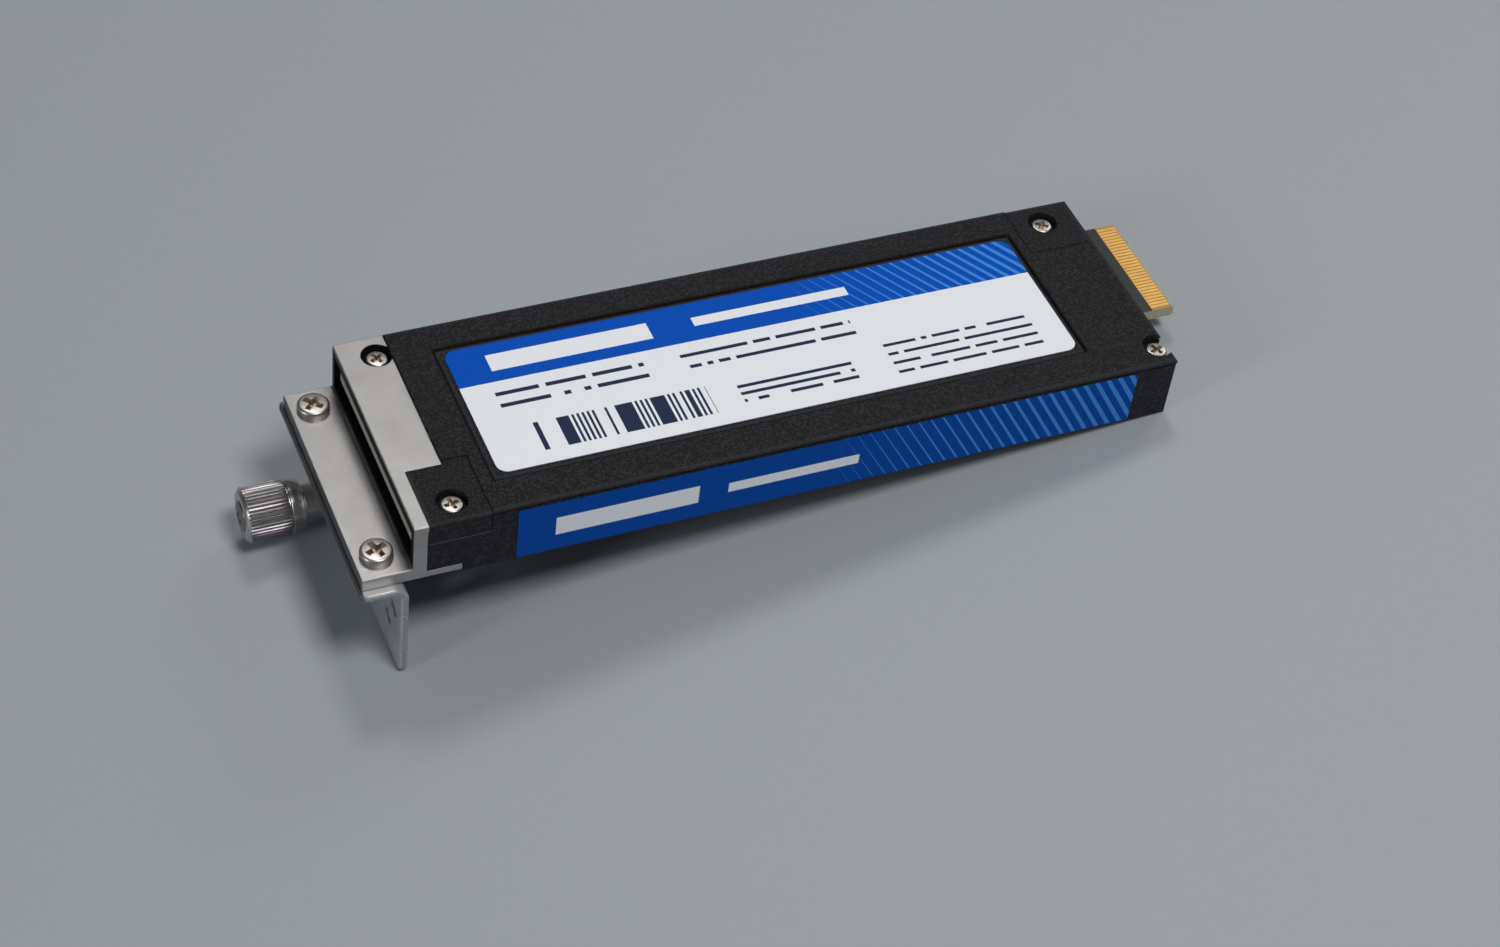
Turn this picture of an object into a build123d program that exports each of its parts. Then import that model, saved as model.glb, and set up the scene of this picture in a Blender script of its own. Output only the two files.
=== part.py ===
from build123d import *
import os
from math import cos, pi, sin

# Short ruler drive with an end bracket, a vented face plate and a captive thumbscrew.
# Frame: X runs into the chassis, Y across the drive, Z up, all in millimetres.
# The origin lies on the seating face of the face plate, at mid width, level with the thumbscrew.

# Drive envelope
drive_length = 118.75
drive_width = 33.75
drive_height = 9.5
card_reach = 7.4
base_level = 11.5

# Front bracket
flange_depth = 6.49
flange_thickness = 1.9
flange_root_radius = 0.3
bracket_wall = 1.9
bracket_lift = 0.35
bracket_drop = 0.25
slot_sill = 2.85
slot_lip = 1.15
top_plate_depth = 4.7
top_plate_thickness = 1.1
top_plate_notch = 9.7
screw_pad_width = 6.5
screw_pad_thickness = 2.0
foot_depth = 4.55
foot_thickness = 1.15
bracket_edge = 0.15

# Face plate
sheet_thickness = 1.0
bend_inside_radius = 0.9
sheet_edge = 0.25
plate_overhang = 1.2
leaf_overhang = 0.45
plate_drop = 15.1
plate_corner_radius = 1.2
seat_gap = 0.74
vent_width = 2.6
vent_sides = 6
vent_pitch = 4.3
vent_row_pitch = 3.55
vent_low_row = 1.9
vent_edge_margin = 0.7
plunge_height = 0.8
plunge_wall = 0.6

# Housing
side_wall = 1.0
end_wall = 1.2
floor_thickness = 1.5
front_floor_thickness = 1.1
deck_thickness = 1.3
rim_thickness = 0.75
reveal_height = 0.25
reveal_depth = 0.35
pad_level_drop = 0.25
housing_edge = 0.3
pad_edge = 0.12
cover_clearance = 0.08
ledge_thickness = 1.1
corner_parting = 6.05
near_pad_length = 8.09
near_pad_width = 10.2
far_pad_length = 9.42
far_pad_width = 8.95
open_block_length = 5.4
open_block_width = 5.2

# Label recess and labels
recess_front_margin = 9.97
recess_rear_margin = 11.05
recess_near_margin = 5.1
recess_far_margin = 4.65
recess_depth = 0.3
recess_edge = 0.15
recess_corner = 0.6
label_margin = 1.0
label_rear_margin = 0.6
label_thickness = 0.1
label_corner = 1.5
side_label_front_margin = 11.4
side_label_rear_margin = 5.75
side_label_low_margin = 0.4
side_label_top_margin = 1.0
side_label_corner = 0.3

# Circuit board and card edge
board_thickness = 1.57
board_level = 4.0
board_clearance = 0.125
board_reach = 1.13
board_end_gap = 0.3
card_width = 17.57
card_offset = 5.23
card_slot_clearance = 0.25
card_bevel = 0.3
tip_notch_width = 2.8
tip_notch_depth = 0.4
tip_notch_offset = 8.9
pad_count = 28
pad_pitch = 0.6
pad_width = 0.4
pad_length = 2.85
pad_thickness = 0.04
pad_tip_margin = 0.45

# Screws that close the housing
cover_head_diameter = 2.9
cover_head_height = 0.9
cover_head_sink = 0.43
cover_thread_diameter = 2.0
cover_thread_length = 4.6
cover_bore_diameter = 4.05
cover_hole_depth = 5.2
thread_clearance = 0.03
pass_clearance = 0.15
post_diameter = 4.4
post_shoulder_width = 6.4
post_notch_clearance = 0.4
screw_side_inset = 3.375
near_front_screw_inset = 3.94
far_front_screw_inset = 2.93
far_rear_screw_inset = 5.03
near_rear_screw_inset = 1.3

# Screws that hold the face plate
flange_head_diameter = 4.2
flange_head_height = 1.2
flange_thread_diameter = 2.5
flange_screw_inset = 2.95
flange_screw_side_inset = 3.6
flange_tip_reach = 1.2
head_slope_share = 0.25
recess_arm_share = 0.3
recess_slot_share = 0.09

# Captive thumbscrew
thumb_offset = 10.5
knob_stand_off = 4.12
knob_diameter = 7.4
knob_length = 8.15
knob_shoulder_length = 2.37
knob_shoulder_radius = 1.2
knob_mouth_diameter = 5.6
knob_taper_length = 0.9
knob_end_wall = 1.67
knob_chamfer = 0.5
knob_teeth = 46
knurl_depth = 0.18
knurl_step = 0.05
ferrule_diameter = 4.8
ferrule_pilot_diameter = 3.9
ferrule_lip = 0.8
ferrule_overlap = 0.65
ferrule_running_gap = 0.05
screw_thread_diameter = 3.0
screw_shank_diameter = 2.1
screw_neck_diameter = 2.6
screw_head_diameter = 4.2
screw_head_sink = 0.5
screw_head_dome = 0.4
screw_gap = 0.15
screw_stop_gap = 0.1
screw_tip_setback = 0.3
spring_wire = 0.35
spring_mean_diameter = 3.6
spring_turns = 3
spring_wire_sides = 4
spring_end_gap = 0.03

# Electronics on the board
row_margin = 0.6
package_height = 1.4
controller_side = 16.0
memory_length = 10.0
memory_width = 13.0
flash_length = 12.0
flash_width = 18.0
lower_flash_count = 4
capacitor_length = 4.3
capacitor_width = 7.3
capacitor_height = 1.9
capacitor_count = 3
capacitor_pitch = 8.2
inductor_side = 4.0
inductor_height = 1.8
inductor_count = 3
inductor_pitch = 5.6
ceramic_length = 0.8
ceramic_width = 1.6
ceramic_height = 0.8
ceramic_count = 8
ceramic_pitch = 1.8
thermal_pad_overhang = 1.0

# Places worked out from the sizes above
half_width = drive_width / 2
wall_front = seat_gap
body_front = wall_front + bracket_wall
flange_front = wall_front - flange_depth
card_end = flange_front + drive_length
body_end = card_end - card_reach
deck_top = base_level + drive_height
rim_bottom = deck_top - rim_thickness
deck_bottom = deck_top - deck_thickness
pad_top = deck_top - pad_level_drop
parting = base_level + corner_parting
floor_top = base_level + floor_thickness
bracket_bottom = base_level + bracket_lift
bracket_top = deck_top - bracket_drop
slot_bottom = bracket_bottom + slot_sill
slot_top = bracket_top - slot_lip
top_plate_bottom = bracket_top - top_plate_thickness
top_plate_rear = body_front + top_plate_depth
screw_pad_bottom = bracket_top - screw_pad_thickness
foot_top = bracket_bottom + foot_thickness
foot_rear = body_front + foot_depth
flange_top = bracket_bottom + flange_thickness
leaf_bottom = bracket_bottom - sheet_thickness
leaf_front = flange_front - leaf_overhang
inner_half = half_width - side_wall
half_board = inner_half - board_clearance
inner_end = body_end - end_wall
board_bottom = base_level + board_level
board_top = board_bottom + board_thickness
board_front = body_front - board_reach
board_end = inner_end - board_end_gap
card_near = card_offset - card_width / 2
card_far = card_offset + card_width / 2
notch_side = top_plate_notch - half_width
screw_pad_side = half_width - screw_pad_width
near_pad_end = body_front + near_pad_length
near_pad_side = near_pad_width - half_width
far_pad_start = body_end - far_pad_length
far_pad_side = half_width - far_pad_width
open_block_start = body_end - open_block_length
open_block_side = open_block_width - inner_half
plate_bottom = base_level - plate_drop
plate_half = half_width + plate_overhang
screw_side = half_width - screw_side_inset
near_front_screw = (body_front + near_front_screw_inset, -screw_side)
far_front_screw = (body_front + far_front_screw_inset, screw_side)
far_rear_screw = (body_end - far_rear_screw_inset, screw_side)
near_rear_screw = (body_end - near_rear_screw_inset, -screw_side)
cover_screw_places = (near_front_screw, far_front_screw, far_rear_screw, near_rear_screw)
lid_screw_places = (near_front_screw, far_rear_screw, near_rear_screw)
cover_head_bottom = pad_top - cover_head_sink - cover_head_height
flange_screw_front = flange_front + flange_screw_inset
flange_screw_side = half_width - flange_screw_side_inset
flange_screw_places = ((flange_screw_front, -flange_screw_side), (flange_screw_front, flange_screw_side))
recess_floor = deck_top - recess_depth
knob_mouth = -sheet_thickness - knob_stand_off
knob_outer = knob_mouth - knob_length
knob_floor = knob_outer + knob_end_wall
knurl_start = knob_outer + knob_chamfer - knurl_depth
knurl_end = knob_mouth - knob_shoulder_length
ferrule_outer = knob_mouth - ferrule_overlap
ferrule_step = ferrule_outer + ferrule_lip
ferrule_bore = screw_thread_diameter / 2 + screw_gap
row_front = near_pad_end + row_margin
row_rear = far_pad_start - row_margin


def block(x0, x1, y0, y1, z0, z1):
    """A box between two corners."""
    middle = Pos((x0 + x1) / 2, (y0 + y1) / 2, (z0 + z1) / 2)
    return middle * Box(x1 - x0, y1 - y0, z1 - z0)


def rod(place, radius, z0, z1):
    """An upright cylinder between two levels."""
    return Pos(place[0], place[1], (z0 + z1) / 2) * Cylinder(radius, z1 - z0)


def rounded_plate(x0, x1, y0, y1, z0, z1, corner):
    """A flat plate with rounded upright corners."""
    outline = Pos((x0 + x1) / 2, (y0 + y1) / 2, z0) * RectangleRounded(x1 - x0, y1 - y0, corner)
    return extrude(outline, z1 - z0)


def side_profile(points, half):
    """A side view in X and Z, drawn out across the drive."""
    face = Plane.XZ * make_face(Polyline(*points, close=True))
    return extrude(face, half, both=True)


def cross_edges(solid, x, z):
    """The edges that run across the drive at a given x and z."""
    found = []
    for edge in solid.edges().filter_by(Axis.Y):
        middle = edge.center()
        if abs(middle.X - x) < 1e-6 and abs(middle.Z - z) < 1e-6:
            found.append(edge)
    return found


def turned(points):
    """A half section given as (along, radius), turned about the thumbscrew axis."""
    face = make_face(Polyline(*points, close=True))
    return Pos(0, thumb_offset, 0) * revolve(face, Axis.X)


def upright_turned(points, place):
    """A half section given as (radius, level), turned about an upright axis."""
    face = Plane.XZ * make_face(Polyline(*points, close=True))
    return Pos(place[0], place[1], 0) * revolve(face, Axis.Z)


def cross_recess(diameter, depth):
    """Two crossed driver slots, centred on a head of the given diameter."""
    arm = Box(2 * recess_arm_share * diameter, 2 * recess_slot_share * diameter, 2 * depth)
    return arm + Rot(0, 0, 90) * arm


def pan_screw(place, seat, head_diameter, head_height, thread_diameter, tip):
    """Pan head with sloped sides, plain shank and a cross recess."""
    head = head_diameter / 2
    thread = thread_diameter / 2
    top = seat + head_height
    points = [(0, tip), (thread, tip), (thread, seat), (head, seat)]
    points += [(head - head_slope_share * head_height, top), (0, top)]
    recess = Pos(place[0], place[1], top) * cross_recess(head_diameter, head_height / 2)
    return upright_turned(points, place) - recess


def front_bracket():
    """End frame: flange, slotted wall, top plate and foot from one side profile."""
    points = [(flange_front, bracket_bottom), (foot_rear, bracket_bottom), (foot_rear, foot_top)]
    points += [(body_front, foot_top), (body_front, top_plate_bottom)]
    points += [(top_plate_rear, top_plate_bottom), (top_plate_rear, bracket_top)]
    points += [(wall_front, bracket_top), (wall_front, flange_top), (flange_front, flange_top)]
    frame = side_profile(points, half_width)
    frame = fillet(cross_edges(frame, wall_front, flange_top), flange_root_radius)
    outer = cross_edges(frame, flange_front, flange_top) + cross_edges(frame, wall_front, bracket_top)
    frame = fillet(outer, bracket_edge)
    ends = frame.faces().sort_by(Axis.Y)
    frame = chamfer(ends[0].edges() + ends[-1].edges(), bracket_edge)
    frame += block(body_front, top_plate_rear, screw_pad_side, half_width, screw_pad_bottom, bracket_top)
    frame -= block(body_front, top_plate_rear, -half_width, notch_side, top_plate_bottom, bracket_top)
    frame -= block(wall_front, body_front, -inner_half, inner_half, slot_bottom, slot_top)
    frame -= rod(far_front_screw, cover_bore_diameter / 2, cover_head_bottom, bracket_top)
    pass_hole = cover_thread_diameter / 2 + pass_clearance
    frame -= rod(far_front_screw, pass_hole, screw_pad_bottom, cover_head_bottom)
    for place in flange_screw_places:
        frame -= rod(place, flange_thread_diameter / 2 + pass_clearance, bracket_bottom, flange_top)
    return frame


def vent_places():
    """Staggered rows of vent holes below the bend, clear of the ferrule and the plate's sides."""
    radius = vent_width / 2
    bend_start = leaf_bottom - bend_inside_radius
    rows = 1 + int((bend_start - radius - vent_low_row) / vent_row_pitch)
    side_limit = plate_half - radius - vent_edge_margin
    ferrule_limit = ferrule_diameter / 2 + radius + vent_edge_margin
    places = []
    for row in range(rows):
        level = vent_low_row + row * vent_row_pitch
        shift = vent_pitch / 2 * (row % 2)
        reach = int((side_limit + shift) / vent_pitch)
        for column in range(-reach, reach + 1):
            side = column * vent_pitch + shift
            clear = (side - thumb_offset) ** 2 + level ** 2 > ferrule_limit ** 2
            if clear and abs(side) <= side_limit:
                places.append((side, level))
    return places


def face_plate():
    """Bent sheet: leaf under the flange, vented plate hanging down in front of the chassis."""
    points = [(leaf_front, bracket_bottom), (0, bracket_bottom), (0, plate_bottom)]
    points += [(-sheet_thickness, plate_bottom), (-sheet_thickness, leaf_bottom)]
    points += [(leaf_front, leaf_bottom)]
    plate = side_profile(points, plate_half)
    plate = fillet(cross_edges(plate, 0, bracket_bottom), bend_inside_radius + sheet_thickness)
    plate = fillet(cross_edges(plate, -sheet_thickness, leaf_bottom), bend_inside_radius)
    front_corners = plate.edges().filter_by(Axis.Z).group_by(Axis.X)[0]
    low_corners = plate.edges().filter_by(Axis.X).group_by(Axis.Z)[0]
    plate = fillet(front_corners + low_corners, plate_corner_radius)
    ends = plate.faces().filter_by(Plane.XZ).sort_by(Axis.Y)
    rims = [edge for edge in ends[0].edges() + ends[-1].edges() if edge.length > 1.01 * sheet_thickness]
    plate = chamfer(rims, sheet_edge)
    outline = RegularPolygon(vent_width / 2, vent_sides)
    opening = Rot(0, 90, 0) * extrude(outline, 2 * sheet_thickness, both=True)
    for side, level in vent_places():
        plate -= Pos(0, side, level) * opening
    pilot = Rot(0, 90, 0) * Cylinder(ferrule_pilot_diameter / 2, 4 * sheet_thickness)
    plate -= Pos(0, thumb_offset, 0) * pilot
    thread = flange_thread_diameter / 2 + thread_clearance
    plunge_bottom = leaf_bottom - plunge_height
    for place in flange_screw_places:
        plate += rod(place, thread + plunge_wall, plunge_bottom, leaf_bottom)
        plate -= rod(place, thread, plunge_bottom, bracket_bottom)
    return plate


def bottom_tray():
    """Trough with posts that seat the board and take the cover screws."""
    tray = block(body_front, body_end, -half_width, half_width, base_level, rim_bottom)
    long_edges = tray.edges().filter_by(Axis.X).group_by(Axis.Z)[0]
    rear_edges = tray.edges().filter_by(Axis.Z).group_by(Axis.X)[-1]
    tray = fillet(long_edges + rear_edges, housing_edge)
    step_end = foot_rear + front_floor_thickness
    step_top = foot_top + front_floor_thickness
    tray -= block(step_end, inner_end, -inner_half, inner_half, floor_top, rim_bottom)
    tray -= block(body_front, step_end, -inner_half, inner_half, step_top, rim_bottom)
    tray -= block(body_front, foot_rear + cover_clearance, -half_width, half_width, base_level, foot_top)
    half = post_shoulder_width / 2
    for place in cover_screw_places:
        x, y = place
        on_pad = place == far_front_screw
        post_top = screw_pad_bottom if on_pad else parting
        tray += block(x - half, x + half, y - half, y + half, floor_top, board_bottom) & tray_room()
        tray += rod(place, post_diameter / 2, floor_top, post_top) & tray_room()
    tray -= block(body_front, near_pad_end, -half_width, near_pad_side, parting, rim_bottom)
    tray -= block(far_pad_start, body_end, far_pad_side, half_width, parting, rim_bottom)
    tray -= block(inner_end, body_end, -inner_half, open_block_side, parting, rim_bottom)
    tray -= block(body_front, top_plate_rear, screw_pad_side, half_width, screw_pad_bottom, rim_bottom)
    card_low = board_bottom - card_slot_clearance
    tray -= block(inner_end, body_end, card_near - card_slot_clearance, card_far + card_slot_clearance,
                  card_low, rim_bottom)
    hole_bottom = cover_head_bottom - cover_hole_depth
    for place in cover_screw_places:
        tray -= rod(place, cover_thread_diameter / 2 + thread_clearance, hole_bottom, rim_bottom)
    return tray


def tray_room():
    """The space that the tray's posts may fill."""
    return block(body_front, body_end, -half_width + housing_edge, half_width - housing_edge,
                 base_level, rim_bottom)


def pad_block(x0, x1, y0, y1, top):
    """A corner of the cover that reaches down to the parting level."""
    corner = block(x0, x1, y0, y1, parting, top)
    outer = corner.faces().sort_by(Axis.Y)[-1 if y1 > 0 else 0]
    return chamfer(outer.edges(), pad_edge)


def top_cover():
    """Cover with a label recess, a reveal below its rim and screw pads at its corners."""
    cover = block(body_front, body_end, -half_width, half_width, rim_bottom, deck_top)
    cover = fillet(cover.edges().group_by(Axis.Z)[-1], housing_edge)
    reveal_top = rim_bottom + reveal_height
    reveal = block(body_front, body_end, -half_width, half_width, rim_bottom, reveal_top)
    reveal -= block(body_front, body_end - reveal_depth, reveal_depth - half_width,
                    half_width - reveal_depth, rim_bottom, reveal_top)
    cover -= reveal
    plug_half = inner_half - cover_clearance
    plug_end = inner_end - cover_clearance
    cover += block(body_front, plug_end, -plug_half, plug_half, deck_bottom, rim_bottom)
    plate_end = top_plate_rear + cover_clearance
    plate_side = notch_side - cover_clearance
    cover -= block(body_front, plate_end, plate_side, half_width, deck_bottom, deck_top)
    ledge_bottom = top_plate_bottom - ledge_thickness
    ledge_end = plate_end + ledge_thickness
    pad_side = screw_pad_side - cover_clearance
    cover += block(body_front, ledge_end, plate_side, pad_side, ledge_bottom, top_plate_bottom)
    cover += block(plate_end, ledge_end, plate_side, pad_side, ledge_bottom, rim_bottom)
    cover -= block(body_front, near_pad_end, -half_width, plate_side, deck_bottom, deck_top)
    cover -= block(plate_end, near_pad_end, plate_side, near_pad_side, pad_top, deck_top)
    cover -= block(far_pad_start, body_end, far_pad_side, half_width, deck_bottom, deck_top)
    cover += pad_block(body_front, near_pad_end, -half_width, plate_side, pad_top)
    cover += pad_block(far_pad_start, body_end, far_pad_side, half_width, pad_top)
    open_side = open_block_side - cover_clearance
    cover += block(open_block_start, body_end, -plug_half, open_side, parting, rim_bottom)
    card_top = board_top + card_slot_clearance
    cover += block(inner_end, body_end, card_near, far_pad_side, card_top, rim_bottom)
    x0, x1 = body_front + recess_front_margin, body_end - recess_rear_margin
    y0, y1 = recess_near_margin - half_width, half_width - recess_far_margin
    cover -= rounded_plate(x0, x1, y0, y1, recess_floor, deck_top, recess_corner)
    length, width = x1 - x0 + 2 * recess_edge, y1 - y0 + 2 * recess_edge
    rim = RectangleRounded(length, width, recess_corner + recess_edge)
    cover -= extrude(Pos((x0 + x1) / 2, (y0 + y1) / 2, deck_top) * rim, -recess_edge, taper=45)
    for place in lid_screw_places:
        cover -= rod(place, cover_bore_diameter / 2, cover_head_bottom, deck_top)
        cover -= rod(place, cover_thread_diameter / 2 + pass_clearance, parting, cover_head_bottom)
    return cover


def cover_screws():
    """Four screws that close the housing."""
    tip = cover_head_bottom - cover_thread_length
    return [pan_screw(place, cover_head_bottom, cover_head_diameter, cover_head_height,
                      cover_thread_diameter, tip) for place in cover_screw_places]


def flange_screws():
    """Two screws that hold the face plate under the flange."""
    tip = leaf_bottom - flange_tip_reach
    return [pan_screw(place, flange_top, flange_head_diameter, flange_head_height,
                      flange_thread_diameter, tip) for place in flange_screw_places]


def circuit_board():
    """Board with a notch for each post and a bevelled card edge."""
    board = block(board_front, board_end, -half_board, half_board, board_bottom, board_top)
    notch = post_diameter / 2 + post_notch_clearance
    for x, y in cover_screw_places:
        edge = half_board if y > 0 else -half_board
        board -= rod((x, y), notch, board_bottom, board_top)
        board -= block(x - notch, x + notch, min(y, edge), max(y, edge), board_bottom, board_top)
    tongue = block(board_end - end_wall, card_end, card_near, card_far, board_bottom, board_top)
    tip = tongue.edges().filter_by(Axis.Y).group_by(Axis.X)[-1]
    tongue = chamfer(tip, card_bevel)
    half_notch = tip_notch_width / 2
    tongue -= block(card_end - tip_notch_depth, card_end, tip_notch_offset - half_notch,
                    tip_notch_offset + half_notch, board_bottom, board_top)
    return board + tongue


def contact_pads():
    """A row of gold contacts on each face of the card edge."""
    front = card_end - pad_tip_margin - pad_length
    first = card_offset - pad_pitch * (pad_count - 1) / 2
    pads = []
    for level in (board_top, board_bottom - pad_thickness):
        for number in range(pad_count):
            side = first + number * pad_pitch
            pads.append(block(front, front + pad_length, side - pad_width / 2, side + pad_width / 2,
                              level, level + pad_thickness))
    return pads


def row_centres(lengths):
    """Middles of a row of packages that share the board's free length evenly."""
    gap = (row_rear - row_front - sum(lengths)) / (len(lengths) - 1)
    centres = []
    front = row_front
    for length in lengths:
        centres.append(front + length / 2)
        front += length + gap
    return centres


def package(centre, side, length, width, height):
    """A package on the upper face of the board."""
    return Pos(centre, side, board_top + height / 2) * Box(length, width, height)


def upper_row():
    """Places along the upper face: two capacitor columns, two flash packages and the rest."""
    lengths = [capacitor_length, capacitor_length, flash_length, flash_length]
    lengths += [controller_side, memory_length, inductor_side]
    return row_centres(lengths)


def hold_up_capacitors():
    """Two columns of capacitors that carry the drive over a loss of power."""
    middle = (capacitor_count - 1) / 2
    return [package(centre, (number - middle) * capacitor_pitch, capacitor_length, capacitor_width,
                    capacitor_height) for centre in upper_row()[:2] for number in range(capacitor_count)]


def upper_flash():
    """Flash packages on the upper face."""
    return [package(centre, 0, flash_length, flash_width, package_height) for centre in upper_row()[2:4]]


def lower_flash_centres():
    """Places of the flash packages on the lower face."""
    return row_centres([flash_length] * lower_flash_count)


def lower_flash():
    """Flash packages on the lower face."""
    level = board_bottom - package_height / 2
    return [Pos(centre, 0, level) * Box(flash_length, flash_width, package_height)
            for centre in lower_flash_centres()]


def small_capacitors():
    """A row of chip capacitors beside the controller, midway to the edge of the board."""
    middle = (ceramic_count - 1) / 2
    side = -(flash_width / 2 + half_board) / 2
    return [package(upper_row()[4] + (number - middle) * ceramic_pitch, side, ceramic_length,
                    ceramic_width, ceramic_height) for number in range(ceramic_count)]


def power_inductors():
    """A row of inductors next to the card edge."""
    middle = (inductor_count - 1) / 2
    return [package(upper_row()[6], (number - middle) * inductor_pitch, inductor_side, inductor_side,
                    inductor_height) for number in range(inductor_count)]


def upper_thermal_pad():
    """Soft pad between the upper packages and the cover."""
    front = upper_row()[2] - flash_length / 2 - thermal_pad_overhang
    rear = upper_row()[5] + memory_length / 2 + thermal_pad_overhang
    half = flash_width / 2
    return block(front, rear, -half, half, board_top + package_height, deck_bottom)


def lower_thermal_pad():
    """Soft pad between the lower packages and the tray."""
    places = lower_flash_centres()
    reach = flash_length / 2 + thermal_pad_overhang
    half = flash_width / 2
    top = board_bottom - package_height
    return block(places[0] - reach, places[-1] + reach, -half, half, floor_top, top)


def top_label():
    """Label in the recess of the cover."""
    return rounded_plate(body_front + recess_front_margin + label_margin,
                         body_end - recess_rear_margin - label_rear_margin,
                         recess_near_margin + label_margin - half_width,
                         half_width - recess_far_margin - label_rear_margin,
                         recess_floor, recess_floor + label_thickness, label_corner)


def side_label():
    """Label on the near side of the tray."""
    x0 = body_front + side_label_front_margin
    x1 = body_end - side_label_rear_margin
    z0 = base_level + side_label_low_margin
    z1 = deck_top - side_label_top_margin
    outline = Pos((x0 + x1) / 2, (z0 + z1) / 2) * RectangleRounded(x1 - x0, z1 - z0, side_label_corner)
    return Pos(0, -half_width, 0) * extrude(Plane.XZ * outline, label_thickness)


def screw_ferrule():
    """Sleeve pressed into the face plate, with a lip that keeps the screw captive."""
    outer = ferrule_diameter / 2
    pilot = ferrule_pilot_diameter / 2
    lip = screw_shank_diameter / 2 + screw_gap
    points = [(ferrule_outer, lip), (ferrule_outer, outer), (-sheet_thickness, outer)]
    points += [(-sheet_thickness, pilot), (0, pilot), (0, ferrule_bore)]
    points += [(ferrule_step, ferrule_bore), (ferrule_step, lip)]
    return turned(points)


def knurl_prism():
    """Straight knurl, one ridge after another round the knob."""
    crest = knob_diameter / 2
    points = []
    for step in range(2 * knob_teeth):
        radius = crest - knurl_depth * (step % 2)
        angle = pi * step / knob_teeth
        points.append((radius * cos(angle), radius * sin(angle)))
    section = Plane.YZ * make_face(Polyline(*points, close=True))
    return Pos(knurl_start, thumb_offset, 0) * extrude(section, knurl_end - knurl_start)


def thumb_knob():
    """Knurled knob with a rounded shoulder, hollow to slide over the ferrule."""
    smooth = knob_diameter / 2 - knurl_depth - knurl_step
    mouth = knob_mouth_diameter / 2
    bore = ferrule_diameter / 2 + ferrule_running_gap
    neck = screw_neck_diameter / 2
    head = screw_head_diameter / 2
    seat = knob_outer + screw_head_sink
    taper = knob_mouth - knob_taper_length
    rim = knob_diameter / 2 - knob_chamfer
    end = turned([(knob_outer, 0), (knob_outer, rim), (knurl_start, smooth), (knurl_start, 0)])
    points = [(knurl_end, 0), (knurl_end, smooth), (taper, smooth), (knob_mouth, mouth), (knob_mouth, 0)]
    section = make_face(Polyline(*points, close=True))
    corner = section.vertices().filter_by(lambda point: abs(point.X - taper) < 1e-6)
    section = fillet(corner, knob_shoulder_radius)
    shoulder = Pos(0, thumb_offset, 0) * revolve(section, Axis.X)
    room = [(knob_outer, 0), (knob_outer, head), (seat, head), (seat, neck), (knob_floor, neck)]
    room += [(knob_floor, bore), (knob_mouth, bore), (knob_mouth, 0)]
    return knurl_prism() + end + shoulder - turned(room)


def captive_screw():
    """Screw pressed into the knob: domed head, relieved shank and threaded end."""
    shank = screw_shank_diameter / 2
    thread = screw_thread_diameter / 2
    neck = screw_neck_diameter / 2
    head = screw_head_diameter / 2
    seat = knob_outer + screw_head_sink
    top = knob_outer - screw_head_dome
    thread_start = ferrule_step + screw_stop_gap
    points = [(top, 0), (top, head - screw_head_dome), (knob_outer, head), (seat, head), (seat, neck)]
    points += [(knob_floor, neck), (knob_floor, shank), (thread_start, shank), (thread_start, thread)]
    points += [(-screw_tip_setback - screw_gap, thread), (-screw_tip_setback, thread - screw_gap)]
    points += [(-screw_tip_setback, 0)]
    slots = Pos(top, thumb_offset, 0) * Rot(0, 90, 0) * cross_recess(screw_head_diameter, screw_head_sink)
    return turned(points) - slots


def return_spring():
    """Coil spring between the ferrule and the bottom of the knob."""
    inset = spring_wire / 2 + spring_end_gap
    height = ferrule_outer - knob_floor - 2 * inset
    path = Helix(height / spring_turns, height, spring_mean_diameter / 2,
                 center=(knob_floor + inset, thumb_offset, 0), direction=(1, 0, 0))
    section = Plane(origin=path @ 0, z_dir=path % 0) * RegularPolygon(spring_wire / 2, spring_wire_sides)
    return sweep(section, path=path, is_frenet=True)


PIECES = {
    "top_cover": top_cover,
    "bottom_tray": bottom_tray,
    "front_bracket": front_bracket,
    "face_plate": face_plate,
    "cover_screws": cover_screws,
    "flange_screws": flange_screws,
    "circuit_board": circuit_board,
    "contact_pads": contact_pads,
    "controller_chip": lambda: package(upper_row()[4], 0, controller_side, controller_side, package_height),
    "working_memory": lambda: package(upper_row()[5], 0, memory_length, memory_width, package_height),
    "upper_flash": upper_flash,
    "lower_flash": lower_flash,
    "hold_up_capacitors": hold_up_capacitors,
    "power_inductors": power_inductors,
    "small_capacitors": small_capacitors,
    "upper_thermal_pad": upper_thermal_pad,
    "lower_thermal_pad": lower_thermal_pad,
    "top_label": top_label,
    "side_label": side_label,
    "screw_ferrule": screw_ferrule,
    "return_spring": return_spring,
    "thumb_knob": thumb_knob,
    "captive_screw": captive_screw,
}

os.makedirs("parts", exist_ok=True)
for name, make in PIECES.items():
    made = make()
    shape = Compound(children=made) if isinstance(made, list) else made
    export_step(shape, f"parts/{name}.step")
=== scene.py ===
from functools import reduce
from math import cos, pi, radians, sin

import bmesh
import bpy
from bpy.props import FloatProperty, FloatVectorProperty, IntProperty, PointerProperty
from mathutils import Matrix, Vector


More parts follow.
